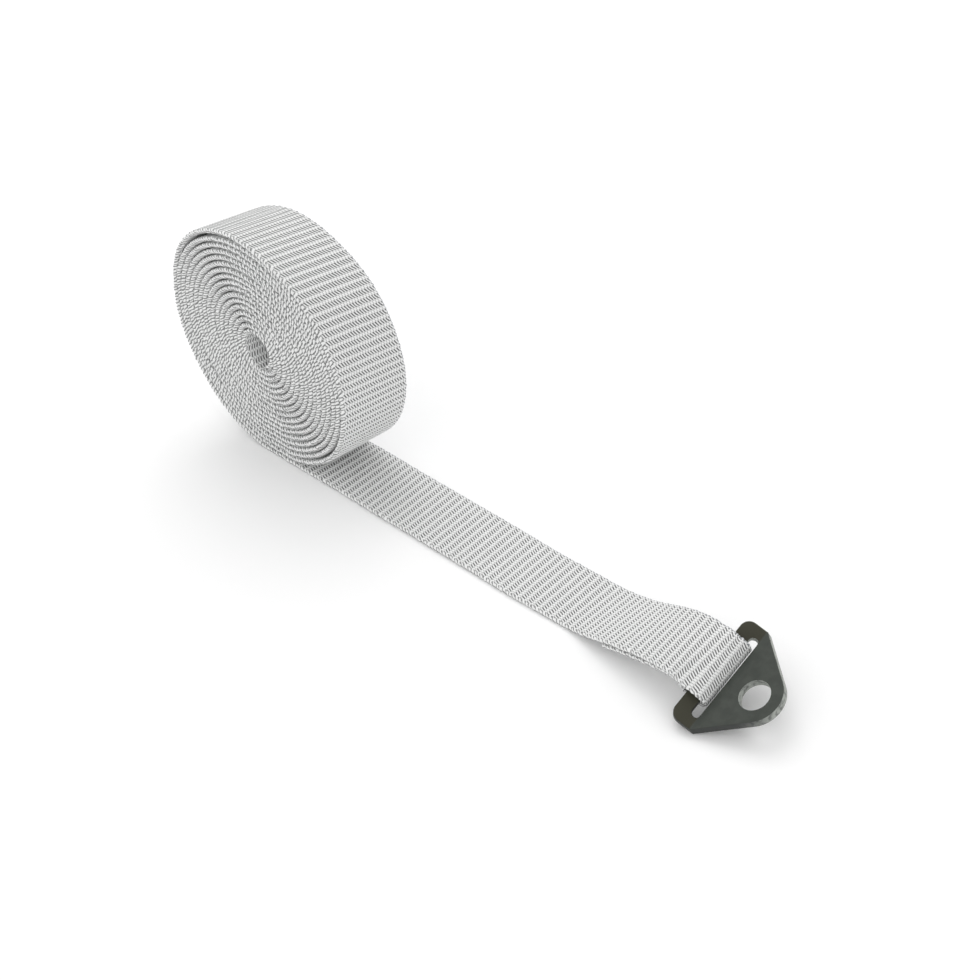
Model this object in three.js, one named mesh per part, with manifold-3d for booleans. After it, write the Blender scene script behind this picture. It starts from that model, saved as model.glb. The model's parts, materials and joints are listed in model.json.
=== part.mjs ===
// Webbing anchor strap: one length of ribbed webbing, wound into a roll that stands on the floor.
// Its tail lies on the floor, lifts, passes over the bar of a bent steel anchor plate, goes down
// through the plate's slot and comes back under itself, where it is sewn.
// Millimetres, +Z up. +X runs from the roll to the plate, +Y along the roll's axis.
import * as THREE from 'three';
import { mergeVertices } from 'three/addons/utils/BufferGeometryUtils.js';
import Module from 'manifold-3d';

// Webbing
const WEBBING_WIDTH = 25;
const WEBBING_THICKNESS = 1.8;
const RIB_PITCH = 2.9;
const RIB_DEPTH = 0.2;
const STEPS_PER_RIB = 4;
const LAYER_GAP = 0.3;

// Roll: the core hole, the turns and the small departures from a true spiral
const CORE_RADIUS = 5.4;
const TURNS = 16.9;
const TURN_GAP = 0.44;
const STEPS_PER_TURN = 30;
const RIBBED_TURNS = 1.05;
const FLAT_SPOT_DEPTH = 0.8;
const FLAT_SPOT_REACH = 45;
const OVAL_SHARE = 0.06;
const OVAL_ANGLE = 92;
const SLACK_LIFT = 0.6;
const SLACK_PLACES = [0.43, 0.86];
const SLACK_REACH = 0.13;

// The wound webbing leans: its far rim is further along and lower than its near one
const LEAN_AT_FOOT = 0.15;
const LEAN_AT_TOP = 0.29;
const ROLL_DROOP = 0.0007;
const LEAN_BEGINS = 45;
const LEAN_SETTLED = 8;

// Tail and loop
const FLOOR_RUN = 131.2;
const TAIL_LENGTH = 188.7;
const TAIL_DRIFT = -3.6;
const RISE_LEAD = 15;
const CROWN_FROM_EYE = new THREE.Vector3(-8.4, 0.6, 1.3);
const CROWN_BANK = 13;
const BANK_BEGINS = 0.35;
const BANK_SETTLED = 0.55;
const DRAW_IN = 0.055;
const DRAW_IN_REACH = 62;
const SLOT_SHIFT = 1;
const LEAVE_ANGLE = 130;
const JOIN_FROM_BAR = 7.5;
const RETURN_LEG = 34;
const EYE_CLEARANCE = 0.3;

// Anchor plate: flat outline, slot, bolt hole and bend
const PLATE_THICKNESS = 2.9;
const HOLE_RADIUS = 5.25;
const APEX_RADIUS = 9.6;
const HOLE_TO_BEND = 11.7;
const BAR_WIDTH = 5;
const BEND_ANGLE = 30;
const SLOT_SIDE_ROOM = 3.2;
const SLOT_WEBBING_ROOM = 0.8;
const TIP_WIDTH = 4.1;
const TIP_RADIUS = 3.4;
const SHOULDER_LENGTH = 0.6;
const PLATE_YAW = -5.6;
const PLATE_PITCH = 9;
const PLATE_BANK = 21;

const ARC_STEPS = 24;
const WELD_DISTANCE = 1e-5;
const TURN_NUDGE = 1e-4;

// Sizes that follow from the ones above
const rad = THREE.MathUtils.degToRad;
const halfWebbing = WEBBING_THICKNESS / 2;
const layerPitch = WEBBING_THICKNESS + LAYER_GAP;
const turnPitch = WEBBING_THICKNESS + TURN_GAP;
const eyeInner = Math.hypot(BAR_WIDTH, PLATE_THICKNESS) / 2 + EYE_CLEARANCE;
const eyeRadius = eyeInner + halfWebbing;
const slotWidth = eyeInner + WEBBING_THICKNESS + SLOT_WEBBING_ROOM - BAR_WIDTH / 2;
const slotHalf = WEBBING_WIDTH / 2 + SLOT_SIDE_ROOM;
const plateHalf = slotHalf + TIP_WIDTH;
const barOffset = slotWidth + BAR_WIDTH / 2;

const steel = new THREE.MeshStandardMaterial({ color: 0x464b44, roughness: 0.5, metalness: 0.55 });
const weave = new THREE.MeshStandardMaterial({ color: 0xd9dad8, roughness: 0.85, metalness: 0 });

const wasm = await Module();
wasm.setup();

// A closed three.js geometry as a solid that can be joined and cut.
function toSolid(geometry) {
  const bare = geometry.clone();
  bare.deleteAttribute('normal');
  bare.deleteAttribute('uv');
  const merged = mergeVertices(bare, WELD_DISTANCE);
  const mesh = new wasm.Mesh({
    numProp: 3,
    vertProperties: new Float32Array(merged.attributes.position.array),
    triVerts: new Uint32Array(merged.index.array),
  });
  return new wasm.Manifold(mesh);
}

function toGeometry(solid) {
  const mesh = solid.getMesh();
  const geometry = new THREE.BufferGeometry();
  geometry.setAttribute('position', new THREE.BufferAttribute(mesh.vertProperties, 3));
  geometry.setIndex(new THREE.BufferAttribute(mesh.triVerts, 1));
  geometry.computeVertexNormals();
  return geometry;
}

// The plate's local frame has the bar's centre at its origin: +X towards the apex, +Y along the
// slot, +Z out of the upper face. The main part is flat in XY and the bar part is bent up from it.
function plateToBar() {
  const bend = rad(BEND_ANGLE);
  return new THREE.Vector3(barOffset * Math.cos(bend), 0, -barOffset * Math.sin(bend));
}

// Outline of the main part, from the bend line to the round apex about the bolt hole.
function mainOutline() {
  const holeX = HOLE_TO_BEND;
  const toCorner = new THREE.Vector2(SHOULDER_LENGTH - holeX, plateHalf);
  const tangent = Math.atan2(toCorner.y, toCorner.x) - Math.acos(APEX_RADIUS / toCorner.length());
  const shape = new THREE.Shape();
  shape.moveTo(0, -plateHalf);
  shape.lineTo(SHOULDER_LENGTH, -plateHalf);
  shape.absarc(holeX, 0, APEX_RADIUS, -tangent, tangent, false);
  shape.lineTo(SHOULDER_LENGTH, plateHalf);
  shape.lineTo(0, plateHalf);
  shape.closePath();
  const hole = new THREE.Path();
  hole.absarc(holeX, 0, HOLE_RADIUS, 0, 2 * Math.PI, true);
  shape.holes.push(hole);
  return shape;
}

// Outline of the bar part in its own plane, from the bend line to the outer edge of the bar.
function barOutline() {
  const edge = slotWidth + BAR_WIDTH;
  const shape = new THREE.Shape();
  shape.moveTo(0, plateHalf);
  shape.lineTo(-edge + TIP_RADIUS, plateHalf);
  shape.absarc(-edge + TIP_RADIUS, plateHalf - TIP_RADIUS, TIP_RADIUS, Math.PI / 2, Math.PI, false);
  shape.lineTo(-edge, -plateHalf + TIP_RADIUS);
  shape.absarc(-edge + TIP_RADIUS, -plateHalf + TIP_RADIUS, TIP_RADIUS, Math.PI, 1.5 * Math.PI, false);
  shape.lineTo(0, -plateHalf);
  shape.closePath();
  return shape;
}

// Round-ended slot, in the plane of the bar part.
function slotOutline() {
  const end = slotWidth / 2;
  const straight = slotHalf - end;
  const shape = new THREE.Shape();
  shape.moveTo(0, -straight);
  shape.lineTo(0, straight);
  shape.absarc(-end, straight, end, 0, Math.PI, false);
  shape.lineTo(-slotWidth, -straight);
  shape.absarc(-end, -straight, end, Math.PI, 2 * Math.PI, false);
  return shape;
}

function slab(shape, thickness) {
  const options = { depth: thickness, bevelEnabled: false, curveSegments: ARC_STEPS };
  return new THREE.ExtrudeGeometry(shape, options).translate(0, 0, -thickness / 2);
}

function plateGeometry() {
  const bend = rad(BEND_ANGLE);
  const fold = new THREE.CylinderGeometry(PLATE_THICKNESS / 2, PLATE_THICKNESS / 2, 2 * plateHalf, ARC_STEPS);
  const main = toSolid(slab(mainOutline(), PLATE_THICKNESS));
  const bar = toSolid(slab(barOutline(), PLATE_THICKNESS).rotateY(bend));
  const slot = toSolid(slab(slotOutline(), 4 * PLATE_THICKNESS).rotateY(bend));
  const plate = main.add(bar).add(toSolid(fold)).subtract(slot);
  const shift = plateToBar();
  return toGeometry(plate).translate(shift.x, shift.y, shift.z);
}

function plateTurn() {
  const order = 'ZYX';
  return new THREE.Euler(rad(PLATE_BANK), rad(-PLATE_PITCH), rad(PLATE_YAW), order);
}

// The bar's centre, at the height where the plate's lower tip stands on the floor.
function barCentre(geometry) {
  const turned = new THREE.Mesh(geometry);
  turned.setRotationFromEuler(plateTurn());
  const box = new THREE.Box3().setFromObject(turned, true);
  return new THREE.Vector3(TAIL_LENGTH, TAIL_DRIFT, -box.min.z);
}

// A station of the webbing: a point on its middle surface, the direction across its width, the
// direction out of its upper face, how far along the webbing it lies and how much it leans.
function station(point, across, up, ribbed, lean = 0) {
  return { point, across, up, ribbed, lean, along: 0 };
}

function bump(place, centre, reach) {
  const share = Math.min(1, Math.abs(place - centre) / reach);
  return 0.5 + 0.5 * Math.cos(Math.PI * share);
}

// Distance from the roll's axis to the webbing's middle, a number of turns in from the tail.
function rollRadius(turnsIn) {
  const angle = -90 - 360 * turnsIn;
  const spiral = CORE_RADIUS + halfWebbing + (TURNS - turnsIn) * turnPitch;
  const oval = 1 + OVAL_SHARE * Math.cos(2 * rad(angle - OVAL_ANGLE));
  const slack = SLACK_PLACES.reduce((sum, place) => sum + bump(turnsIn, place, SLACK_REACH), 0);
  return spiral * oval + SLACK_LIFT * slack;
}

// The same distance with the small flat spot that the roll stands on.
function restingRadius(turnsIn) {
  const fromBottom = rad(360 * (turnsIn - Math.round(turnsIn)));
  const round = rollRadius(turnsIn);
  const bottom = rollRadius(Math.round(turnsIn));
  const flat = bottom - FLAT_SPOT_DEPTH * (bottom / rollRadius(0)) ** 2;
  const level = flat / Math.cos(fromBottom);
  return Math.abs(fromBottom) < rad(FLAT_SPOT_REACH) ? Math.min(round, level) : round;
}

function rollHeight() {
  return restingRadius(0) + halfWebbing;
}

function rollPoint(turnsIn) {
  const angle = rad(-90 - 360 * turnsIn);
  const radius = restingRadius(turnsIn);
  return new THREE.Vector3(radius * Math.cos(angle), 0, rollHeight() + radius * Math.sin(angle));
}

function rollStations() {
  const across = new THREE.Vector3(0, 1, 0);
  const stations = [];
  const ribStep = RIB_PITCH / STEPS_PER_RIB;
  let turnsIn = TURNS;
  while (turnsIn > TURN_NUDGE) {
    const ahead = rollPoint(turnsIn - TURN_NUDGE);
    const behind = rollPoint(turnsIn + TURN_NUDGE);
    const tangent = ahead.sub(behind).normalize();
    const ribbed = turnsIn < RIBBED_TURNS;
    stations.push(station(rollPoint(turnsIn), across, tangent.clone().cross(across), ribbed, 1));
    turnsIn -= ribbed ? ribStep / (2 * Math.PI * rollRadius(turnsIn)) : 1 / STEPS_PER_TURN;
  }
  return stations;
}

// A station whose width is level, turned about the webbing's direction by an angle.
function banked(point, tangent, bank) {
  const level = new THREE.Vector3(0, 0, 1).cross(tangent).normalize();
  const across = level.applyAxisAngle(tangent, bank);
  return station(point, across, tangent.clone().cross(across).normalize(), true);
}

function bankOf(tangent, across) {
  const level = new THREE.Vector3(0, 0, 1).cross(tangent).normalize();
  return Math.atan2(level.clone().cross(across).dot(tangent), level.dot(across));
}

function curveStations(curve, startBank, endBank, begins, settled) {
  const count = Math.ceil(curve.getLength() / (RIB_PITCH / STEPS_PER_RIB));
  const stations = [];
  for (let i = 0; i < count; i += 1) {
    const share = i / count;
    const bank = startBank + (endBank - startBank) * THREE.MathUtils.smoothstep(share, begins, settled);
    stations.push(banked(curve.getPointAt(share), curve.getTangentAt(share), bank));
  }
  return stations;
}

function floorStations() {
  const start = new THREE.Vector3(0, 0, halfWebbing);
  const end = new THREE.Vector3(FLOOR_RUN, 0, halfWebbing);
  const stations = curveStations(new THREE.LineCurve3(start, end), 0, 0, 0, 1);
  for (const s of stations) {
    s.lean = 1 - THREE.MathUtils.smoothstep(s.point.x, LEAN_SETTLED, LEAN_BEGINS);
  }
  return stations;
}

// Directions at the bar: towards the apex in the bar's own plane, along the bar, and out of it.
function barFrame() {
  const bend = rad(BEND_ANGLE);
  const turn = plateTurn();
  return {
    forward: new THREE.Vector3(Math.cos(bend), 0, -Math.sin(bend)).applyEuler(turn),
    across: new THREE.Vector3(0, 1, 0).applyEuler(turn),
    up: new THREE.Vector3(Math.sin(bend), 0, Math.cos(bend)).applyEuler(turn),
  };
}

function eyePoint(centre, frame, angle, radius) {
  const point = centre.clone().addScaledVector(frame.forward, radius * Math.cos(angle));
  return point.addScaledVector(frame.up, radius * Math.sin(angle));
}

function eyeStation(centre, frame, angle) {
  const up = eyePoint(new THREE.Vector3(), frame, angle, 1);
  return station(eyePoint(centre, frame, angle, eyeRadius), frame.across, up, true);
}

// From the floor up to the crown, and from the crown down onto the bar.
function riseStations(centre, frame) {
  const start = new THREE.Vector3(FLOOR_RUN, 0, halfWebbing);
  const eyeTop = eyePoint(centre, frame, Math.PI / 2, eyeRadius);
  const crown = eyeTop.clone().add(CROWN_FROM_EYE);
  const crownWay = new THREE.Vector3(1, TAIL_DRIFT / (TAIL_LENGTH - FLOOR_RUN), 0).normalize();
  const lead = new THREE.Vector3(RISE_LEAD, 0, 0);
  const rise = new THREE.CubicBezierCurve3(
    start,
    start.clone().add(lead),
    crown.clone().addScaledVector(crownWay, -RISE_LEAD),
    crown,
  );
  const reach = crown.distanceTo(eyeTop) / 3;
  const drop = new THREE.CubicBezierCurve3(
    crown,
    crown.clone().addScaledVector(crownWay, reach),
    eyeTop.clone().addScaledVector(frame.forward, -reach),
    eyeTop,
  );
  const eyeBank = bankOf(frame.forward, frame.across);
  return [
    ...curveStations(rise, 0, rad(CROWN_BANK), BANK_BEGINS, 1),
    ...curveStations(drop, rad(CROWN_BANK), eyeBank, 0, BANK_SETTLED),
  ];
}

// Round the bar: over it, down through the slot and under it.
function eyeStations(centre, frame) {
  const leave = -rad(LEAVE_ANGLE);
  const length = eyeRadius * (Math.PI / 2 - leave);
  const count = Math.ceil(length / (RIB_PITCH / STEPS_PER_RIB));
  const stations = [];
  for (let i = 0; i <= count; i += 1) {
    stations.push(eyeStation(centre, frame, Math.PI / 2 + ((leave - Math.PI / 2) * i) / count));
  }
  return stations;
}

// Back under the rising layer, one layer below it.
function returnStations(upper, eyeEnd) {
  const under = upper.map((s) => station(
    s.point.clone().addScaledVector(s.up, -layerPitch),
    s.across,
    s.up.clone().negate(),
    true,
  )).reverse();
  const joinAt = Math.round(JOIN_FROM_BAR / (RIB_PITCH / STEPS_PER_RIB));
  const join = under[joinAt];
  const reach = eyeEnd.point.distanceTo(join.point) / 3;
  const leaving = eyeEnd.across.clone().cross(eyeEnd.up).normalize();
  const arriving = join.across.clone().cross(join.up).normalize();
  const curve = new THREE.CubicBezierCurve3(
    eyeEnd.point,
    eyeEnd.point.clone().addScaledVector(leaving, reach),
    join.point.clone().addScaledVector(arriving, -reach),
    join.point,
  );
  const count = Math.ceil(curve.getLength() / (RIB_PITCH / STEPS_PER_RIB));
  const bridge = [];
  for (let i = 1; i < count; i += 1) {
    const share = i / count;
    const tangent = curve.getTangentAt(share);
    const turned = THREE.MathUtils.smoothstep(share, 1 - BANK_SETTLED, 1);
    const across = eyeEnd.across.clone().lerp(join.across, turned);
    across.addScaledVector(tangent, -across.dot(tangent)).normalize();
    bridge.push(station(curve.getPointAt(share), across, tangent.clone().cross(across), true));
  }
  const legSteps = Math.round(RETURN_LEG / (RIB_PITCH / STEPS_PER_RIB));
  return [...bridge, ...under.slice(joinAt, joinAt + legSteps)];
}

function measure(stations) {
  for (let i = 1; i < stations.length; i += 1) {
    stations[i].along = stations[i - 1].along + stations[i].point.distanceTo(stations[i - 1].point);
  }
  return stations;
}

// Half the webbing's thickness at a station: full on a rib and thinner in the groove beside it.
function halfThickness(s) {
  const wave = 0.5 + 0.5 * Math.cos((2 * Math.PI * s.along) / RIB_PITCH);
  return halfWebbing - (s.ribbed ? RIB_DEPTH * (1 - wave) : 0);
}

// Share of the full width at a station: the webbing is drawn in a little towards the bar.
function widthShare(s, bar) {
  const away = Math.min(1, s.point.distanceTo(bar) / DRAW_IN_REACH);
  return 1 - DRAW_IN * (1 - THREE.MathUtils.smoothstep(away, 0, 1));
}

// A flat bar with one segment for each pair of stations, laid along them.
function webbingGeometry(stations, bar) {
  const segments = stations.length - 1;
  const geometry = new THREE.BoxGeometry(segments, WEBBING_WIDTH, 2, segments, 1, 1);
  const position = geometry.attributes.position;
  const rollTop = 2 * rollHeight();
  const point = new THREE.Vector3();
  for (let i = 0; i < position.count; i += 1) {
    const s = stations[Math.round(position.getX(i) + segments / 2)];
    const place = position.getY(i) * widthShare(s, bar);
    point.copy(s.point);
    point.addScaledVector(s.across, place);
    point.addScaledVector(s.up, position.getZ(i) * halfThickness(s));
    const lean = THREE.MathUtils.lerp(LEAN_AT_FOOT, LEAN_AT_TOP, point.z / rollTop);
    point.x += lean * place * s.lean;
    point.z *= 1 - ROLL_DROOP * place * s.lean;
    position.setXYZ(i, point.x, point.y, point.z);
  }
  geometry.computeVertexNormals();
  return geometry;
}

const anchorPlate = plateGeometry();
const centre = barCentre(anchorPlate);
const frame = barFrame();
const loopCentre = centre.clone().addScaledVector(frame.across, SLOT_SHIFT);
const rise = riseStations(loopCentre, frame);
const eye = eyeStations(loopCentre, frame);
const leg = returnStations(rise, eye[eye.length - 1]);
const strap = measure([...rollStations(), ...floorStations(), ...rise, ...eye, ...leg]);

const strapMesh = new THREE.Mesh(webbingGeometry(strap, centre), weave);
strapMesh.name = 'webbing_strap';

const plateMesh = new THREE.Mesh(anchorPlate, steel);
plateMesh.name = 'anchor_plate';
plateMesh.position.copy(centre);
plateMesh.setRotationFromEuler(plateTurn());

const model = new THREE.Group();
model.add(strapMesh, plateMesh);

// The origin is the middle of the whole part's footprint, on the floor.
const extent = new THREE.Box3().setFromObject(model, true);
const middle = extent.getCenter(new THREE.Vector3());
model.position.set(-middle.x, -middle.y, -extent.min.z);

export default model;
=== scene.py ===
"""Dresses the webbing anchor strap: wound ribbed webbing and its bent steel anchor plate."""

import json
import logging
import math
from dataclasses import dataclass, field
from enum import Enum

import bmesh
import bpy
from mathutils import Matrix, Vector, noise


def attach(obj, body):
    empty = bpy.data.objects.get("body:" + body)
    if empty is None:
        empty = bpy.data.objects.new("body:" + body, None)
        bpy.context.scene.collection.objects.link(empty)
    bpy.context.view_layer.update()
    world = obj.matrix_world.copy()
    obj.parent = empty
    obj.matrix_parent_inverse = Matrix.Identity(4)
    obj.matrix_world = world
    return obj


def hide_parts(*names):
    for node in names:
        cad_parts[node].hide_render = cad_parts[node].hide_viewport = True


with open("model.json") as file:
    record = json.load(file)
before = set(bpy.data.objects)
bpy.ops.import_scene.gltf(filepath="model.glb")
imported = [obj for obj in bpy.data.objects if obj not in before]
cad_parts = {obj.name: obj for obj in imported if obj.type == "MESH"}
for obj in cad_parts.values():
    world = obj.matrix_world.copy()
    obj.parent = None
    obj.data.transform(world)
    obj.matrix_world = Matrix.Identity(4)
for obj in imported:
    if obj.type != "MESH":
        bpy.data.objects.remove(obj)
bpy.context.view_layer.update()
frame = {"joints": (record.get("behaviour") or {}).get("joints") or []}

MM = 0.001
SMOOTH_ANGLE = math.radians(38.0)
BAR_WIDTH = 5.0
PLATE_THICKNESS = 2.9
LOG = logging.getLogger("anchor_strap")


class Body(Enum):
    """The two rigid bodies of the part."""

    STRAP = "strap"
    PLATE = "plate"


class Slot(Enum):
    """The record's material slots."""

    WEBBING = "webbing"
    PLATE = "plate_steel"


class Trace(Enum):
    """Point attributes that carry the weave: two distances in millimetres and a share from -1 to 1."""

    ALONG = "along_mm"
    ACROSS = "across_mm"
    THROUGH = "through"


def smoothstep(value: float, low: float, high: float) -> float:
    """Returns 0 below low, 1 above high and a smooth step between."""
    share = min(1.0, max(0.0, (value - low) / (high - low)))
    return share * share * (3.0 - 2.0 * share)


class Socket:
    """A shader socket with arithmetic, so that node maths reads as an expression."""

    def __init__(self, shader: "Shader", output: bpy.types.NodeSocket) -> None:
        """Wraps an output socket of a shader's node."""
        self.shader = shader
        self.output = output

    def _math(self, operation: str, other: "Socket | float", swap: bool = False) -> "Socket":
        """Adds a Math node of this socket and another value.

        Args:
            operation: The Math node's operation.
            other: The second value.
            swap: Whether the other value comes first.

        Returns:
            The result's socket.
        """
        pair = [other, self] if swap else [self, other]
        return self.shader.node("ShaderNodeMath", {"operation": operation}, {0: pair[0], 1: pair[1]})

    def __add__(self, other: "Socket | float") -> "Socket":
        """Returns self + other."""
        return self._math("ADD", other)

    def __radd__(self, other: float) -> "Socket":
        """Returns other + self."""
        return self._math("ADD", other)

    def __sub__(self, other: "Socket | float") -> "Socket":
        """Returns self - other."""
        return self._math("SUBTRACT", other)

    def __rsub__(self, other: float) -> "Socket":
        """Returns other - self."""
        return self._math("SUBTRACT", other, swap=True)

    def __mul__(self, other: "Socket | float") -> "Socket":
        """Returns self * other."""
        return self._math("MULTIPLY", other)

    def __rmul__(self, other: float) -> "Socket":
        """Returns other * self."""
        return self._math("MULTIPLY", other)

    def __truediv__(self, other: "Socket | float") -> "Socket":
        """Returns self / other."""
        return self._math("DIVIDE", other)

    def _alone(self, operation: str) -> "Socket":
        """Adds a Math node of this socket alone."""
        return self.shader.node("ShaderNodeMath", {"operation": operation}, {0: self})

    def fraction(self) -> "Socket":
        """Returns the part after the decimal point, from 0 to 1."""
        return self._alone("FRACT")

    def cosine(self) -> "Socket":
        """Returns the cosine of one full turn times this value, from 0 to 1."""
        return (self * math.tau)._alone("COSINE") * 0.5 + 0.5

    def magnitude(self) -> "Socket":
        """Returns the value without its sign."""
        return self._alone("ABSOLUTE")

    def step(self, low: float, high: float) -> "Socket":
        """Returns 0 at low, 1 at high and a smooth step between, clamped."""
        settings = {"interpolation_type": "SMOOTHSTEP", "clamp": True}
        values = {"Value": self, "From Min": low, "From Max": high}
        return self.shader.node("ShaderNodeMapRange", settings, values)


class Shader:
    """A node material that is built by expressions."""

    def __init__(self, name: str) -> None:
        """Starts an empty material with a Principled shader."""
        self.material = bpy.data.materials.new(name)
        self.material.use_nodes = True
        self.tree = self.material.node_tree
        self.tree.nodes.clear()
        self.output = self.tree.nodes.new("ShaderNodeOutputMaterial")
        self.principled = self.tree.nodes.new("ShaderNodeBsdfPrincipled")
        self.tree.links.new(self.principled.outputs[0], self.output.inputs["Surface"])

    def node(self, kind: str, settings: dict, values: dict, result: "int | str" = 0) -> Socket:
        """Adds a node.

        Args:
            kind: The node's type name.
            settings: Properties that are set before the sockets.
            values: Sockets' numbers, colours or links, by index or name.
            result: The output to return.

        Returns:
            The wrapped output.
        """
        made = self.tree.nodes.new(kind)
        for key, value in settings.items():
            setattr(made, key, value)
        for key, value in values.items():
            self.feed(made.inputs[key], value)
        return Socket(self, made.outputs[result])

    def feed(self, target: bpy.types.NodeSocket, value: "Socket | float | tuple") -> None:
        """Links a socket to an input, or sets the input's own value."""
        if isinstance(value, Socket):
            self.tree.links.new(value.output, target)
        else:
            target.default_value = value

    def surface(self, **values: "Socket | float | tuple") -> None:
        """Sets the Principled shader's inputs, with underscores for the spaces in their names."""
        for key, value in values.items():
            self.feed(self.principled.inputs[key.replace("_", " ")], value)

    def attribute(self, name: str) -> Socket:
        """Returns a point attribute of the piece."""
        return self.node("ShaderNodeAttribute", {"attribute_name": name}, {}, "Fac")

    def place(self) -> Socket:
        """Returns the Object coordinates."""
        return self.node("ShaderNodeTexCoord", {}, {}, "Object")

    def grain(self, scale: float, detail: float, vector: Socket) -> Socket:
        """Returns a noise texture's value."""
        values = {"Scale": scale, "Detail": detail, "Vector": vector}
        return self.node("ShaderNodeTexNoise", {}, values, "Fac")

    def mix(self, factor: "Socket | float", first: "Socket | tuple", second: "Socket | tuple") -> Socket:
        """Returns a colour between two colours."""
        settings = {"data_type": "RGBA", "clamp_factor": True}
        return self.node("ShaderNodeMix", settings, {0: factor, 6: first, 7: second}, 2)

    def bump(self, height: Socket, depth: float, strength: float) -> Socket:
        """Returns a normal bent by a height from 0 to 1, depth metres high."""
        values = {"Height": height, "Distance": depth, "Strength": strength}
        return self.node("ShaderNodeBump", {}, values)


@dataclass(frozen=True)
class WeaveFinish:
    """Pale grey ribbed polyester weave: bright floats on the ribs, with painted shade in the slanted gaps
    between them, between the yarns and between the cords of the selvages.

    Lengths along and across the webbing are in millimetres. A pair of numbers gives the values
    between which a mask goes from 0 to 1, and a wander is the noise's share in a pattern.
    """

    rib_pitch: float
    half_width: float
    yarn_pitch: float = 1.0
    slant: float = 0.5
    selvage: float = 1.0
    selvage_blend: float = 0.35
    float_colour: tuple = (0.86, 0.865, 0.86, 1.0)
    # Painted shade: this dark colour stands in for the shadow in the gaps between the ribs and between the
    # yarns.
    gap_painted_shade: tuple = (0.045, 0.047, 0.048, 1.0)
    side_colour: tuple = (0.88, 0.885, 0.88, 1.0)
    # Painted shade: this dark colour stands in for the shadow in the grooves between the selvages' cords.
    side_gap_painted_shade: tuple = (0.12, 0.123, 0.123, 1.0)
    edge_line_colour: tuple = (0.13, 0.16, 0.20, 1.0)
    wander_scale: float = 420.0
    tuft_scale: float = 1500.0
    noise_detail: float = 2.0
    rib_wander: float = 0.16
    float_wander: float = 0.35
    yarn_wander: float = 0.3
    cord_wander: float = 1.5
    dip_start: tuple = (0.24, 0.46)
    dip_end: tuple = (0.90, 1.0)
    gap_mask: tuple = (0.42, 0.78)
    gap_tuft: float = 0.25
    between_mask: tuple = (0.72, 1.0)
    between_shade: float = 0.42
    between_relief: float = 0.35
    cord_slant: float = 0.6
    cord_mask: tuple = (0.56, 0.90)
    cord_shade: float = 0.50
    cord_tuft: float = 0.6
    line_inner: float = 0.75
    line_outer: float = 0.3
    line_corner: tuple = (0.35, 0.85)
    line_shade: float = 0.6
    roughness: float = 0.78
    sheen: float = 0.12
    relief: float = 0.45 * MM
    relief_strength: float = 0.9
    tuft_relief: float = 0.12

    def make(self) -> bpy.types.Material:
        """Builds the webbing's material on its own attributes."""
        shader = Shader("ribbed_weave")
        along, across, through = (shader.attribute(trace.value) for trace in Trace)
        place = shader.place()
        wander = shader.grain(self.wander_scale, self.noise_detail, place) - 0.5
        tuft = shader.grain(self.tuft_scale, self.noise_detail, place)
        cell = (along / self.rib_pitch + wander * self.rib_wander).fraction()
        yarn = across / self.yarn_pitch
        row = yarn + cell * (self.slant * self.rib_pitch / self.yarn_pitch)
        dip = cell.step(*self.dip_start) * (1.0 - cell.step(*self.dip_end))
        gap = (row + wander * self.float_wander).cosine().step(*self.gap_mask) * dip
        between = (yarn + wander * self.yarn_wander).cosine().step(*self.between_mask) * (1.0 - dip)
        # Painted shade: the gaps between the ribs and the lines between the yarns are darkened towards the
        # gap colour.
        gap_depth = gap * ((1.0 - self.gap_tuft) + self.gap_tuft * tuft)
        face = shader.mix(gap_depth, self.float_colour, self.gap_painted_shade)
        face = shader.mix(between * self.between_shade, face, self.gap_painted_shade)
        # Painted shade in the grooves between the cords on the selvages.
        cord = along / (self.rib_pitch / 2) + through * self.cord_slant + wander * self.cord_wander
        side_gap = cord.cosine().step(*self.cord_mask) * (self.cord_shade + self.cord_tuft * tuft)
        side = shader.mix(side_gap, self.side_colour, self.side_gap_painted_shade)
        half = self.half_width
        edge_line = across.step(half - self.line_inner, half - self.line_outer)
        edge_line = edge_line * through.magnitude().step(*self.line_corner)
        side = shader.mix(edge_line * self.line_shade, side, self.edge_line_colour)
        at_side = across.magnitude().step(half - self.selvage, half - self.selvage_blend)
        height = (1.0 - gap) * (1.0 - self.between_relief * between) * (1.0 - at_side)
        height = height + (1.0 - side_gap) * at_side + self.tuft_relief * tuft
        shader.surface(
            Base_Color=shader.mix(at_side, face, side),
            Roughness=self.roughness,
            Sheen_Weight=self.sheen,
            Normal=shader.bump(height, self.relief, self.relief_strength),
        )
        return shader.material


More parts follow.
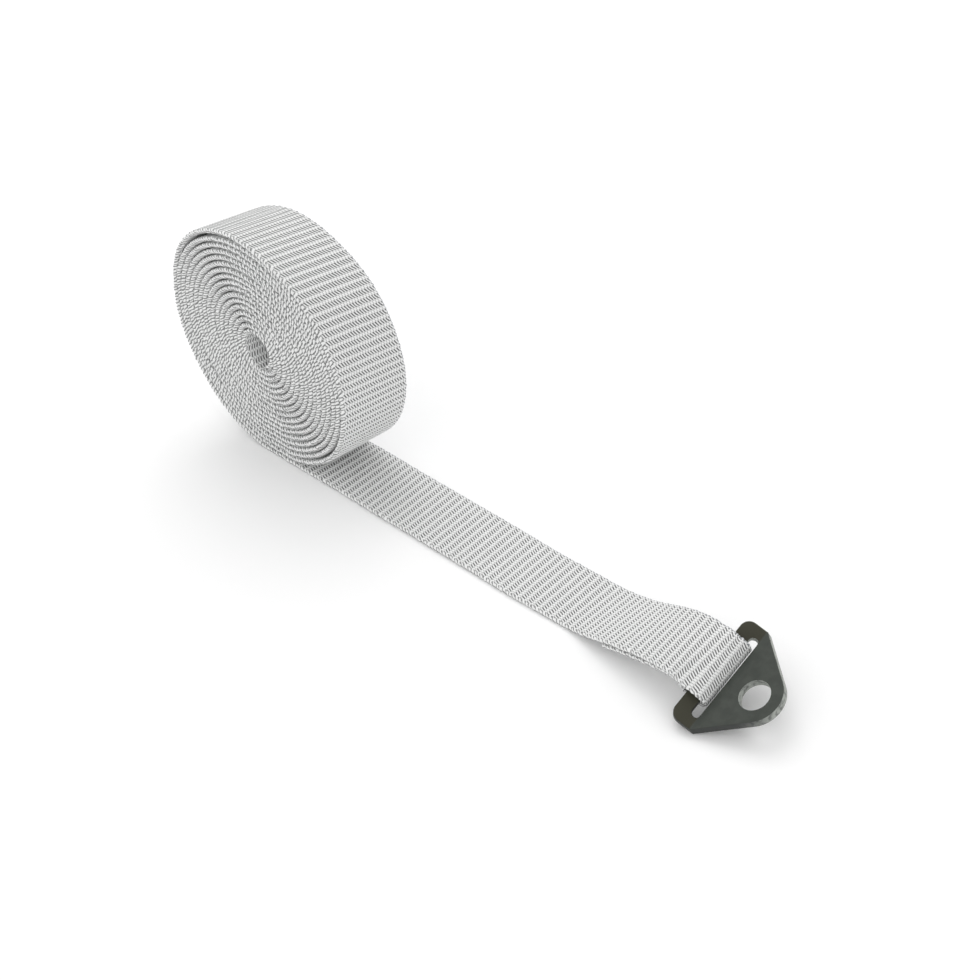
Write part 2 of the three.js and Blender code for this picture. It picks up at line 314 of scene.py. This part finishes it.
@dataclass(frozen=True)
class PhosphateFinish:
    """Dark grey-green phosphate coat with a faint mottle, and a darker olive tone painted on the bent bar
    as painted shade.
    """

    coat: tuple = (0.042, 0.048, 0.041, 1.0)
    mottle: tuple = (0.055, 0.062, 0.053, 1.0)
    # Painted shade: this olive tone stands in for the bent bar's different shading.
    bar_shade_olive: tuple = (0.040, 0.039, 0.025, 1.0)
    cloud_scale: float = 260.0
    cloud_detail: float = 4.0
    cloud_mask: tuple = (0.35, 0.7)
    fine_scale: float = 2600.0
    fine_detail: float = 3.0
    specular: float = 0.3
    roughness: float = 0.55
    roughness_spread: float = 0.14
    relief: float = 0.02 * MM
    relief_strength: float = 0.6

    def make(self) -> bpy.types.Material:
        """Builds the plate's coat."""
        shader = Shader("phosphate_coat")
        place = shader.place()
        cloud = shader.grain(self.cloud_scale, self.cloud_detail, place)
        fine = shader.grain(self.fine_scale, self.fine_detail, place)
        colour = shader.mix(cloud.step(*self.cloud_mask), self.coat, self.mottle)
        shader.surface(
            # Painted shade on the bent bar, by its bar share.
            Base_Color=shader.mix(shader.attribute(AnchorPlate.BAR_TRACE), colour, self.bar_shade_olive),
            Specular_IOR_Level=self.specular,
            Roughness=self.roughness + self.roughness_spread * fine,
            Normal=shader.bump(fine, self.relief, self.relief_strength),
        )
        return shader.material


@dataclass(frozen=True)
class ShearedFinish:
    """Mottled bare steel of the sheared edges, with painted shade that darkens them where y is below a
    limit.
    """

    bright: tuple = (0.34, 0.36, 0.33, 1.0)
    dull: tuple = (0.12, 0.128, 0.12, 1.0)
    # Painted shade: this dark colour stands in for the shade on the sheared edges where y is below the
    # limit.
    lower_edge_shade: tuple = (0.03, 0.033, 0.03, 1.0)
    shade_until: float = -12.0 * MM
    shade_fades_by: float = -3.0 * MM
    cloud_scale: float = 700.0
    cloud_detail: float = 3.0
    cloud_mask: tuple = (0.42, 0.72)
    fine_scale: float = 5200.0
    fine_detail: float = 2.0
    metallic: float = 0.2
    roughness: float = 0.42
    roughness_spread: float = 0.2
    relief: float = 0.03 * MM
    relief_strength: float = 0.5

    def make(self) -> bpy.types.Material:
        """Builds the sheared edges' metal."""
        shader = Shader("sheared_steel")
        place = shader.place()
        cloud = shader.grain(self.cloud_scale, self.cloud_detail, place)
        fine = shader.grain(self.fine_scale, self.fine_detail, place)
        sideways = shader.node("ShaderNodeSeparateXYZ", {}, {0: place}, "Y")
        # Painted shade: the sheared edges darken where y falls below the limit.
        unshaded = sideways.step(self.shade_until, self.shade_fades_by)
        metal = shader.mix(cloud.step(*self.cloud_mask), self.bright, self.dull)
        shader.surface(
            Base_Color=shader.mix(unshaded, self.lower_edge_shade, metal),
            Metallic=self.metallic,
            Roughness=self.roughness + self.roughness_spread * fine,
            Normal=shader.bump(fine, self.relief, self.relief_strength),
        )
        return shader.material


@dataclass(frozen=True)
class ThreadFinish:
    """Off-white twisted sewing thread."""

    colour: tuple = (0.74, 0.74, 0.71, 1.0)
    shade: tuple = (0.42, 0.42, 0.40, 1.0)
    twist_scale: float = 3800.0
    twist_detail: float = 2.0
    roughness: float = 0.6
    relief: float = 0.05 * MM
    relief_strength: float = 0.7

    def make(self) -> bpy.types.Material:
        """Builds the thread's material."""
        shader = Shader("sewing_thread")
        twist = shader.grain(self.twist_scale, self.twist_detail, shader.place())
        shader.surface(
            Base_Color=shader.mix(twist, self.colour, self.shade),
            Roughness=self.roughness,
            Normal=shader.bump(twist, self.relief, self.relief_strength),
        )
        return shader.material


@dataclass
class Station:
    """One cross-section of the webbing: its middle, its directions and its distance along.

    The width share is its drawn-in width, and lean its share of the roll's lean, both from 0 to 1.
    """

    point: Vector
    across: Vector
    up: Vector
    width_share: float = 1.0
    along: float = 0.0
    lean: float = 0.0


@dataclass
class StrapPath:
    """The webbing's middle line, from the roll's core to the sewn end.

    Lengths are in millimetres and angles in degrees. Turns are counted inwards from the tail.
    """

    width: float = 25.0
    thickness: float = 1.8
    rib_pitch: float = 2.9
    fine_steps: int = 8
    plain_steps: int = 4
    fine_turns: float = 1.1
    turn_nudge: float = 1e-4
    least_turn: float = 1e-6
    curve_parts: int = 400
    layer_gap: float = 0.3
    core_radius: float = 5.4
    turns: float = 16.9
    turn_gap: float = 0.44
    flat_spot_depth: float = 0.8
    flat_spot_reach: float = 45.0
    oval_share: float = 0.06
    oval_angle: float = 92.0
    slack_lift: float = 0.6
    slack_places: tuple = (0.43, 0.86)
    slack_reach: float = 0.13
    lean_at_foot: float = 0.15
    lean_at_top: float = 0.29
    roll_droop: float = 0.0007
    lean_begins: float = 45.0
    lean_settled: float = 8.0
    floor_run: float = 131.2
    tail_length: float = 188.7
    tail_drift: float = -3.6
    rise_lead: float = 15.0
    crown_from_eye: tuple = (-8.4, 0.6, 1.3)
    crown_bank: float = 13.0
    bank_begins: float = 0.35
    bank_settled: float = 0.55
    draw_in: float = 0.055
    draw_in_reach: float = 62.0
    slot_shift: float = 1.0
    leave_angle: float = 130.0
    join_from_bar: float = 7.5
    return_leg: float = 34.0
    eye_clearance: float = 0.3
    slot_room: float = 0.8
    bar_centre: Vector = field(default_factory=Vector)
    forward: Vector = field(default_factory=Vector)
    across_bar: Vector = field(default_factory=Vector)
    out_of_bar: Vector = field(default_factory=Vector)

    def __post_init__(self) -> None:
        """Works out the sizes that follow from the fields."""
        self.half = self.thickness / 2
        self.layer_pitch = self.thickness + self.layer_gap
        self.turn_pitch = self.thickness + self.turn_gap
        self.eye_radius = math.hypot(BAR_WIDTH, PLATE_THICKNESS) / 2 + self.eye_clearance + self.half
        self.slot_width = self.eye_radius + self.half + self.slot_room - BAR_WIDTH / 2
        self.foot = Vector((self.bar_centre.x - self.tail_length, self.bar_centre.y - self.tail_drift, 0.0))
        self.axis_height = self.resting_radius(0.0) + self.half

    def roll_radius(self, turns_in: float) -> float:
        """Returns the distance from the roll's axis, a number of turns in from the tail."""
        angle = -90.0 - 360.0 * turns_in
        spiral = self.core_radius + self.half + (self.turns - turns_in) * self.turn_pitch
        oval = 1.0 + self.oval_share * math.cos(2.0 * math.radians(angle - self.oval_angle))
        slack = 0.0
        for place in self.slack_places:
            share = min(1.0, abs(turns_in - place) / self.slack_reach)
            slack += 0.5 + 0.5 * math.cos(math.pi * share)
        return spiral * oval + self.slack_lift * slack

    def resting_radius(self, turns_in: float) -> float:
        """Returns the same distance with the flat spot that the roll stands on."""
        whole = float(round(turns_in))
        from_bottom = math.tau * (turns_in - whole)
        free = self.roll_radius(turns_in)
        if abs(from_bottom) >= math.radians(self.flat_spot_reach):
            return free
        bottom = self.roll_radius(whole)
        flat = bottom - self.flat_spot_depth * (bottom / self.roll_radius(0.0)) ** 2
        return min(free, flat / math.cos(from_bottom))

    def roll_point(self, turns_in: float) -> Vector:
        """Returns the middle line's point, a number of turns in from the tail."""
        angle = math.radians(-90.0 - 360.0 * turns_in)
        radius = self.resting_radius(turns_in)
        reach = Vector((radius * math.cos(angle), 0.0, radius * math.sin(angle) + self.axis_height))
        return self.foot + reach

    def roll(self) -> list:
        """Returns the roll's stations, from the core outwards."""
        across = Vector((0.0, 1.0, 0.0))
        made = []
        turns_in = self.turns
        while turns_in > self.least_turn:
            ahead = self.roll_point(turns_in - self.turn_nudge)
            heading = (ahead - self.roll_point(turns_in + self.turn_nudge)).normalized()
            up = heading.cross(across)
            made.append(Station(self.roll_point(turns_in), across, up, lean=1.0))
            step = self.rib_pitch / (self.fine_steps if turns_in < self.fine_turns else self.plain_steps)
            turns_in -= step / (math.tau * self.roll_radius(turns_in))
        return made

    @staticmethod
    def banked(point: Vector, heading: Vector, bank: float) -> Station:
        """Returns a station whose width is level, then turned about its heading."""
        level = Vector((0.0, 0.0, 1.0)).cross(heading).normalized()
        across = Matrix.Rotation(bank, 3, heading) @ level
        return Station(point, across, heading.cross(across).normalized())

    @staticmethod
    def bezier(points: list, share: float) -> Vector:
        """Returns the point of a cubic curve at a share of its parameter."""
        rest = 1.0 - share
        first, second, third, last = points
        return (
            first * rest ** 3
            + second * (3.0 * rest * rest * share)
            + third * (3.0 * rest * share * share)
            + last * share ** 3
        )

    def evenly(self, points: list, step: float) -> list:
        """Cuts a cubic curve into even steps.

        Args:
            points: The curve's four control points.
            step: The wanted distance between cuts.

        Returns:
            A list of (share of the length, point, heading), without the curve's end.
        """
        line = [self.bezier(points, i / self.curve_parts) for i in range(self.curve_parts + 1)]
        sums = [0.0]
        for before, after in zip(line, line[1:]):
            sums.append(sums[-1] + (after - before).length)
        count = max(2, math.ceil(sums[-1] / step))
        cuts = []
        index = 0
        for i in range(count):
            goal = sums[-1] * i / count
            while sums[index + 1] < goal:
                index += 1
            part = (goal - sums[index]) / (sums[index + 1] - sums[index])
            heading = (line[index + 1] - line[index]).normalized()
            cuts.append((i / count, line[index].lerp(line[index + 1], part), heading))
        return cuts

    def eye_point(self, angle: float, radius: float) -> Vector:
        """Returns a point round the bar, at an angle from the way to the plate's apex."""
        centre = self.bar_centre + self.across_bar * self.slot_shift
        ahead = self.forward * (radius * math.cos(angle))
        return centre + ahead + self.out_of_bar * (radius * math.sin(angle))

    def tail(self) -> tuple:
        """Lays the webbing along the floor, up to the crown and down onto the bar.

        Returns:
            All these stations, and a list of those that are above the floor.
        """
        step = self.rib_pitch / self.fine_steps
        start = self.foot + Vector((0.0, 0.0, self.half))
        lift = start + Vector((self.floor_run, 0.0, 0.0))
        ahead = Vector((1.0, 0.0, 0.0))
        eye_top = self.eye_point(math.pi / 2, self.eye_radius)
        crown = eye_top + Vector(self.crown_from_eye)
        crown_way = Vector((1.0, self.tail_drift / (self.tail_length - self.floor_run), 0.0)).normalized()
        reach = (crown - eye_top).length / 3.0
        thirds = [start.lerp(lift, i / 3.0) for i in range(4)]
        rise = [lift, lift + ahead * self.rise_lead, crown - crown_way * self.rise_lead, crown]
        drop = [crown, crown + crown_way * reach, eye_top - self.forward * reach, eye_top]
        made = [self.banked(point, heading, 0.0) for _, point, heading in self.evenly(thirds, step)]
        for s in made:
            s.lean = 1.0 - smoothstep(s.point.x - self.foot.x, self.lean_settled, self.lean_begins)
        crown_bank = math.radians(self.crown_bank)
        level = Vector((0.0, 0.0, 1.0)).cross(self.forward).normalized()
        eye_bank = math.atan2(level.cross(self.across_bar).dot(self.forward), level.dot(self.across_bar))
        upper = []
        for share, point, heading in self.evenly(rise, step):
            upper.append(self.banked(point, heading, crown_bank * smoothstep(share, self.bank_begins, 1.0)))
        for share, point, heading in self.evenly(drop, step):
            turned = smoothstep(share, 0.0, self.bank_settled)
            upper.append(self.banked(point, heading, crown_bank + (eye_bank - crown_bank) * turned))
        return made + upper, upper

    def eye(self) -> list:
        """Returns the stations over the bar, down through the slot and under the bar."""
        step = self.rib_pitch / self.fine_steps
        leave = -math.radians(self.leave_angle)
        count = math.ceil(self.eye_radius * (math.pi / 2 - leave) / step)
        made = []
        for i in range(count + 1):
            angle = math.pi / 2 + (leave - math.pi / 2) * i / count
            up = self.forward * math.cos(angle) + self.out_of_bar * math.sin(angle)
            made.append(Station(self.eye_point(angle, self.eye_radius), self.across_bar, up))
        return made

    def leg(self, upper: list, last: Station) -> list:
        """Returns the stations back under the rising layer, one layer below it."""
        step = self.rib_pitch / self.fine_steps
        under = [Station(s.point - s.up * self.layer_pitch, s.across, -s.up) for s in reversed(upper)]
        join_at = round(self.join_from_bar / step)
        join = under[join_at]
        reach = (last.point - join.point).length / 3.0
        leaving = last.across.cross(last.up).normalized()
        arriving = join.across.cross(join.up).normalized()
        curve = [last.point, last.point + leaving * reach, join.point - arriving * reach, join.point]
        bridge = []
        for share, point, heading in self.evenly(curve, step)[1:]:
            across = last.across.lerp(join.across, smoothstep(share, 1.0 - self.bank_settled, 1.0))
            across = (across - heading * across.dot(heading)).normalized()
            bridge.append(Station(point, across, heading.cross(across)))
        return bridge + under[join_at:join_at + round(self.return_leg / step)]

    def stations(self) -> list:
        """Returns every station with its distance along and its share of the full width."""
        tail, upper = self.tail()
        eye = self.eye()
        self.leg_stations = self.leg(upper, eye[-1])
        made = self.roll() + tail + eye + self.leg_stations
        for before, after in zip(made, made[1:]):
            after.along = before.along + (after.point - before.point).length
        for s in made:
            away = min(1.0, (s.point - self.bar_centre).length / self.draw_in_reach)
            s.width_share = 1.0 - self.draw_in * (1.0 - smoothstep(away, 0.0, 1.0))
        return made


@dataclass
class WebbingStrap:
    """The woven strap: a closed ribbed band with rounded, slightly uneven selvages."""

    path: StrapPath
    rib_depth: float = 0.2
    selvage_round: float = 0.8
    corner_steps: int = 3
    wander: float = 0.45
    wander_length: float = 26.0
    wander_seed: float = 3.0
    scallop: float = 0.15
    lump: float = 0.24
    lump_length: float = 2.3
    lump_spread: float = 4.0
    lump_seed: float = 9.0
    uneven_from: float = 0.9
    wound_swell: float = 0.08
    weld_distance: float = 0.0005 * MM

    def section(self) -> list:
        """Returns the section's points as (across, share of the half thickness), round the band."""
        half = self.path.width / 2
        flat = half - self.selvage_round
        ring = [(0.0, -1.0)]
        for side in (1.0, -1.0):
            for i in range(-self.corner_steps, self.corner_steps + 1):
                angle = math.pi / 2 * i / self.corner_steps
                across = side * (flat + self.selvage_round * math.cos(angle))
                ring.append((across, side * math.sin(angle)))
            if side > 0:
                ring.append((0.0, 1.0))
        return ring + [ring[0]]

    def build(self, material: bpy.types.Material) -> bpy.types.Object:
        """Builds the strap's mesh.

        Args:
            material: The weave.

        Returns:
            The finished object.
        """
        stations = self.path.stations()
        ring = self.section()
        bm = bmesh.new()
        columns = len(stations) - 1
        rows = len(ring) - 1
        bmesh.ops.create_grid(bm, x_segments=columns, y_segments=rows, size=1.0)
        traces = {trace: bm.verts.layers.float.new(trace.value) for trace in Trace}
        for vert in bm.verts:
            s = stations[round((vert.co.x + 1.0) / 2.0 * columns)]
            across, through = ring[round((vert.co.y + 1.0) / 2.0 * rows)]
            vert[traces[Trace.ALONG]] = s.along
            vert[traces[Trace.ACROSS]] = across
            vert[traces[Trace.THROUGH]] = through
            vert.co = self.surface_point(s, across, through)
        bmesh.ops.remove_doubles(bm, verts=bm.verts, dist=self.weld_distance)
        bmesh.ops.holes_fill(bm, edges=[e for e in bm.edges if e.is_boundary])
        bmesh.ops.recalc_face_normals(bm, faces=bm.faces)
        return finish_piece("woven_strap", bm, [material])

    def surface_point(self, s: Station, across: float, through: float) -> Vector:
        """Places a point of the webbing's surface.

        Args:
            s: The station.
            across: The place across the width, in millimetres.
            through: The place through the thickness, from -1 to 1.

        Returns:
            The point in metres.
        """
        path = self.path
        ribs = s.along / path.rib_pitch
        wave = 0.5 + 0.5 * math.cos(math.tau * ribs)
        thick = path.half - self.rib_depth * (1.0 - wave) + self.wound_swell * s.lean
        side = across / (path.width / 2)
        edge = smoothstep(abs(side), self.uneven_from, 1.0)
        drift = noise.noise(Vector((s.along / self.wander_length, 0.0, self.wander_seed)))
        lump = noise.noise(Vector((s.along / self.lump_length, side * self.lump_spread, self.lump_seed)))
        uneven = self.scallop * math.cos(2.0 * math.tau * ribs) + self.lump * lump
        place = across * s.width_share + self.wander * drift + side * edge * uneven
        point = s.point + s.across * place + s.up * (through * thick)
        rise = (path.lean_at_top - path.lean_at_foot) * point.z / (2.0 * path.axis_height)
        point.x += (path.lean_at_foot + rise) * place * s.lean
        point.z *= 1.0 - path.roll_droop * place * s.lean
        return point * MM


@dataclass
class Stitching:
    """A box seam with a cross in it, on the underside of the return leg."""

    path: StrapPath
    stitch_length: float = 2.2
    stitch_pitch: float = 3.0
    thread: float = 0.55
    thread_sink: float = 0.05
    bead_subdivisions: int = 2
    seam_length: float = 20.0
    seam_half_width: float = 8.6
    seam_start: float = 9.0

    def lines(self) -> list:
        """Returns the seam's lines as pairs of (along, across) ends."""
        near, far = self.seam_start, self.seam_start + self.seam_length
        side = self.seam_half_width
        corners = [(near, -side), (far, -side), (far, side), (near, side)]
        around = list(zip(corners, corners[1:] + corners[:1]))
        return around + [(corners[0], corners[2]), (corners[1], corners[3])]

    def build(self, material: bpy.types.Material) -> bpy.types.Object:
        """Builds every stitch as a small flattened bead of thread.

        Args:
            material: The thread.

        Returns:
            The finished object.
        """
        stations = self.path.leg_stations
        first = stations[0].along
        bm = bmesh.new()
        for start, end in self.lines():
            way = Vector(end) - Vector(start)
            count = max(1, round(way.length / self.stitch_pitch))
            for i in range(count):
                along, across = Vector(start) + way * ((i + 0.5) / count)
                s = min(stations, key=lambda other: abs(other.along - first - along))
                heading = s.across.cross(s.up).normalized()
                direction = (heading * way.x + s.across * way.y).normalized()
                self.add_stitch(bm, s, across, direction)
        return finish_piece("loop_stitching", bm, [material])

    def add_stitch(self, bm: bmesh.types.BMesh, s: Station, across: float, direction: Vector) -> None:
        """Adds one stitch at a station, lying along a direction."""
        bead = bmesh.ops.create_icosphere(bm, subdivisions=self.bead_subdivisions, radius=0.5)["verts"]
        sideways = s.up.cross(direction).normalized()
        turn = Matrix((direction, sideways, s.up)).transposed().to_4x4()
        size = Matrix.Diagonal((self.stitch_length, self.thread, self.thread, 1.0))
        height = self.path.half - self.thread_sink
        centre = s.point + s.across * across * s.width_share + s.up * height
        matrix = Matrix.Scale(MM, 4) @ Matrix.Translation(centre) @ turn @ size
        bmesh.ops.transform(bm, matrix=matrix, verts=bead)


@dataclass
class AnchorPlate:
    """The bent steel plate: a rounded triangle with a bolt hole and a slotted, bent-up bar.

    Lengths are in millimetres and angles in degrees. The flat plate has its bend at x = 0.
    """

    BAR_TRACE = "bar_share"

    slot_width: float
    hole_radius: float = 5.25
    apex_radius: float = 9.6
    hole_to_bend: float = 11.7
    bend_angle: float = 30.0
    slot_half: float = 15.7
    tip_width: float = 4.1
    tip_radius: float = 3.4
    shoulder_length: float = 0.6
    shoulder_round: float = 1.4
    bend_zone: float = 1.5
    bend_cuts: int = 7
    bar_fade: tuple = (-0.6, 0.9)
    edge_round: float = 0.26
    edge_round_segments: int = 3
    wall_below: float = 0.80
    face_above: float = 0.5
    arc_steps: int = 14
    weld_distance: float = 0.001
    cut_distance: float = 0.0001

    def arc(self, centre: tuple, radius: float, start: float, end: float) -> list:
        """Returns points on an arc, from one angle to another in degrees."""
        count = max(3, math.ceil(self.arc_steps * abs(end - start) / 90.0))
        points = []
        for i in range(count + 1):
            angle = math.radians(start + (end - start) * i / count)
            points.append((centre[0] + radius * math.cos(angle), centre[1] + radius * math.sin(angle)))
        return points

    def outline(self) -> list:
        """Returns the flat outline, with the bend at x = 0 and the bar on the negative side."""
        half = self.slot_half + self.tip_width
        edge = -(self.slot_width + BAR_WIDTH)
        reach = Vector((self.shoulder_length - self.hole_to_bend, half))
        side = math.degrees(math.atan2(reach.y, reach.x) - math.acos(self.apex_radius / reach.length))
        setback = self.shoulder_round * math.tan(math.radians(90.0 - side) / 2)
        shoulder = (self.shoulder_length - setback, half - self.shoulder_round)
        upper = self.arc((self.hole_to_bend, 0.0), self.apex_radius, 0.0, side)
        upper += self.arc(shoulder, self.shoulder_round, side, 90.0)
        upper += self.arc((edge + self.tip_radius, half - self.tip_radius), self.tip_radius, 90.0, 180.0)
        lower = [(x, -y) for x, y in reversed(upper[1:])]
        return upper + lower

    def slot(self) -> list:
        """Returns the slot's outline, round-ended."""
        end = self.slot_width / 2
        straight = self.slot_half - end
        return self.arc((-end, straight), end, 0.0, 180.0) + self.arc((-end, -straight), end, 180.0, 360.0)

    def bent(self, place: Vector) -> Vector:
        """Returns a flat plate's point after the bend."""
        theta = math.radians(self.bend_angle)
        radius = self.bend_zone / theta
        run = self.bend_zone / 2 - place.x
        if run <= 0.0:
            return place.copy()
        turned = min(run, self.bend_zone) / radius
        beyond = max(0.0, run - self.bend_zone)
        arm = radius - place.z
        x = self.bend_zone / 2 - arm * math.sin(turned) - beyond * math.cos(theta)
        z = radius - arm * math.cos(turned) + beyond * math.sin(theta)
        return Vector((x, place.y, z))

    def build(self, place: Matrix, coat: bpy.types.Material, edge: bpy.types.Material) -> bpy.types.Object:
        """Builds the plate.

        Args:
            place: The plate's own frame, in millimetres in the row frame.
            coat: The coat of its faces.
            edge: The bare metal of its sheared edges.

        Returns:
            The finished object.
        """
        bm = bmesh.new()
        hole = self.arc((self.hole_to_bend, 0.0), self.hole_radius, 0.0, 360.0)[:-1]
        rims = []
        for loop in (self.outline(), self.slot(), hole):
            verts = [bm.verts.new((x, y, -PLATE_THICKNESS / 2)) for x, y in loop]
            rims += [bm.edges.new(pair) for pair in zip(verts, verts[1:] + verts[:1])]
        bmesh.ops.remove_doubles(bm, verts=bm.verts, dist=self.weld_distance)
        bmesh.ops.triangle_fill(bm, use_beauty=True, use_dissolve=False, edges=bm.edges, normal=(0, 0, 1))
        for i in range(self.bend_cuts):
            x = self.bend_zone * (i / (self.bend_cuts - 1) - 0.5)
            geometry = list(bm.verts) + list(bm.edges) + list(bm.faces)
            bmesh.ops.bisect_plane(
                bm, geom=geometry, dist=self.cut_distance, plane_co=(x, 0, 0), plane_no=(1, 0, 0),
            )
        bmesh.ops.recalc_face_normals(bm, faces=bm.faces)
        extruded = bmesh.ops.extrude_face_region(bm, geom=list(bm.faces), use_keep_orig=True)
        raised = [item for item in extruded["geom"] if isinstance(item, bmesh.types.BMVert)]
        bmesh.ops.translate(bm, vec=(0, 0, PLATE_THICKNESS), verts=raised)
        bmesh.ops.recalc_face_normals(bm, faces=bm.faces)
        self.round_edges(bm)
        bar = bm.verts.layers.float.new(self.BAR_TRACE)
        for face in bm.faces:
            face.material_index = 1 if abs(face.normal.z) < self.wall_below else 0
        for vert in bm.verts:
            # The bar share masks the bent bar for its painted shade.
            vert[bar] = smoothstep(-vert.co.x, *self.bar_fade)
            vert.co = self.bent(vert.co)
        bmesh.ops.transform(bm, matrix=Matrix.Scale(MM, 4) @ place, verts=bm.verts)
        return finish_piece("bent_plate", bm, [coat, edge])

    def round_edges(self, bm: bmesh.types.BMesh) -> None:
        """Rounds the long edges between the faces and the sheared walls."""
        sharp = []
        for e in bm.edges:
            if len(e.link_faces) != 2:
                continue
            first, second = (abs(f.normal.z) > self.face_above for f in e.link_faces)
            if first != second:
                sharp.append(e)
        bmesh.ops.bevel(
            bm, geom=sharp, offset=self.edge_round, offset_type="OFFSET", affect="EDGES",
            segments=self.edge_round_segments, profile=0.5, material=-1,
        )


def finish_piece(name: str, bm: bmesh.types.BMesh, materials: list) -> bpy.types.Object:
    """Turns a bmesh into a smooth-shaded object at the origin.

    Args:
        name: The piece's name.
        bm: The mesh, in metres in the row frame. It is freed.
        materials: The piece's materials.

    Returns:
        The linked object.
    """
    mesh = bpy.data.meshes.new(name)
    for face in bm.faces:
        face.smooth = True
    bm.to_mesh(mesh)
    bm.free()
    mesh.set_sharp_from_angle(angle=SMOOTH_ANGLE)
    for material in materials:
        mesh.materials.append(material)
    piece = bpy.data.objects.new(name, mesh)
    bpy.context.scene.collection.objects.link(piece)
    return piece


@dataclass
class PlatePose:
    """How the plate lies: the turns of its own frame, in degrees."""

    yaw: float = -5.6
    pitch: float = 9.0
    bank: float = 21.0

    def rotation(self) -> Matrix:
        """Returns the plate's rotation."""
        turn = Matrix.Rotation(math.radians(self.yaw), 3, "Z")
        turn @= Matrix.Rotation(math.radians(-self.pitch), 3, "Y")
        return turn @ Matrix.Rotation(math.radians(self.bank), 3, "X")


@dataclass(frozen=True)
class Studio:
    """Plain pale floor, soft white light and the camera at the photograph's viewing angle.

    The camera's place is its eye, and its right and down are the picture's directions, in metres.
    """

    eye: tuple = (0.446499, -0.408039, 0.579912)
    right: tuple = (0.729994, 0.679243, -0.075749)
    down: tuple = (0.420461, -0.533703, -0.733740)
    focal_length: float = 91.84
    sensor: float = 36.0
    clip_start: float = 0.01
    floor_size: float = 6.0
    floor_drop: float = 0.05 * MM
    floor_colour: tuple = (0.98, 0.98, 0.98, 1.0)
    floor_roughness: float = 0.9
    floor_specular: float = 0.1
    white: tuple = (1.0, 1.0, 1.0, 1.0)
    backdrop_strength: float = 1.0
    fill_strength: float = 0.93
    key_power: float = 4.2
    key_size: float = 0.9
    key_place: tuple = (-0.55, 0.45, 1.15)
    key_target: tuple = (-0.02, 0.0, 0.03)

    def add_camera(self) -> None:
        """Makes the camera and sets it as the scene's."""
        data = bpy.data.cameras.new("camera")
        data.lens = self.focal_length
        data.sensor_width = self.sensor
        data.clip_start = self.clip_start
        camera = bpy.data.objects.new("camera", data)
        right, down = Vector(self.right), Vector(self.down)
        basis = Matrix((right, -down, -right.cross(down))).transposed().to_4x4()
        camera.matrix_world = Matrix.Translation(self.eye) @ basis
        bpy.context.scene.collection.objects.link(camera)
        bpy.context.scene.camera = camera

    def add_floor(self) -> None:
        """Makes the floor."""
        bm = bmesh.new()
        bmesh.ops.create_grid(bm, x_segments=1, y_segments=1, size=self.floor_size / 2)
        bmesh.ops.translate(bm, vec=(0.0, 0.0, -self.floor_drop), verts=bm.verts)
        shader = Shader("pale_floor")
        shader.surface(
            Base_Color=self.floor_colour,
            Roughness=self.floor_roughness,
            Specular_IOR_Level=self.floor_specular,
        )
        finish_piece("floor", bm, [shader.material])

    def add_light(self) -> None:
        """Makes the soft key light and the white surroundings."""
        data = bpy.data.lights.new("key", "AREA")
        data.energy = self.key_power
        data.size = self.key_size
        lamp = bpy.data.objects.new("key", data)
        way = Vector(self.key_target) - Vector(self.key_place)
        aim = way.to_track_quat("-Z", "Y").to_matrix().to_4x4()
        lamp.matrix_world = Matrix.Translation(self.key_place) @ aim
        bpy.context.scene.collection.objects.link(lamp)
        world = bpy.data.worlds.new("surroundings")
        world.use_nodes = True
        bpy.context.scene.world = world
        tree = world.node_tree
        tree.nodes.clear()
        output = tree.nodes.new("ShaderNodeOutputWorld")
        mixer = tree.nodes.new("ShaderNodeMixShader")
        path = tree.nodes.new("ShaderNodeLightPath")
        largest = tree.nodes.new("ShaderNodeMath")
        largest.operation = "MAXIMUM"
        tree.links.new(path.outputs["Is Camera Ray"], largest.inputs[0])
        tree.links.new(path.outputs["Is Glossy Ray"], largest.inputs[1])
        tree.links.new(largest.outputs[0], mixer.inputs[0])
        for slot, strength in ((1, self.fill_strength), (2, self.backdrop_strength)):
            background = tree.nodes.new("ShaderNodeBackground")
            background.inputs["Strength"].default_value = strength
            background.inputs["Color"].default_value = self.white
            tree.links.new(background.outputs[0], mixer.inputs[slot])
        tree.links.new(mixer.outputs[0], output.inputs["Surface"])


def main() -> None:
    """Builds and dresses the whole part, then its studio."""
    logging.basicConfig(level=logging.INFO)
    bpy.context.scene.view_settings.view_transform = "Standard"
    studio = Studio()
    studio.add_camera()
    turn = PlatePose().rotation()
    bend = math.radians(AnchorPlate.bend_angle)
    forward = turn @ Vector((math.cos(bend), 0.0, -math.sin(bend)))
    outward = turn @ Vector((math.sin(bend), 0.0, math.cos(bend)))
    sideways = turn @ Vector((0.0, 1.0, 0.0))
    bar_centre = Vector(frame["joints"][0]["pos_m"]) / MM
    path = StrapPath(bar_centre=bar_centre, forward=forward, across_bar=sideways, out_of_bar=outward)
    strap = WebbingStrap(path).build(WeaveFinish(path.rib_pitch, path.width / 2).make())
    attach(strap, Body.STRAP.value)
    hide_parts("webbing_strap")
    stitching = Stitching(path).build(ThreadFinish().make())
    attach(stitching, Body.STRAP.value)
    length = path.leg_stations[-1].along * MM
    LOG.info("webbing strap: %.3f m long, %d faces", length, len(strap.data.polygons))
    offset = path.slot_width + BAR_WIDTH / 2
    shift = Matrix.Translation((offset * math.cos(bend), 0.0, -offset * math.sin(bend)))
    steel = AnchorPlate(path.slot_width).build(
        Matrix.Translation(bar_centre) @ turn.to_4x4() @ shift,
        PhosphateFinish().make(),
        ShearedFinish().make(),
    )
    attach(steel, Body.PLATE.value)
    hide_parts("anchor_plate")
    LOG.info("anchor plate: %d faces", len(steel.data.polygons))
    studio.add_floor()
    studio.add_light()


if __name__ == "__main__":
    main()
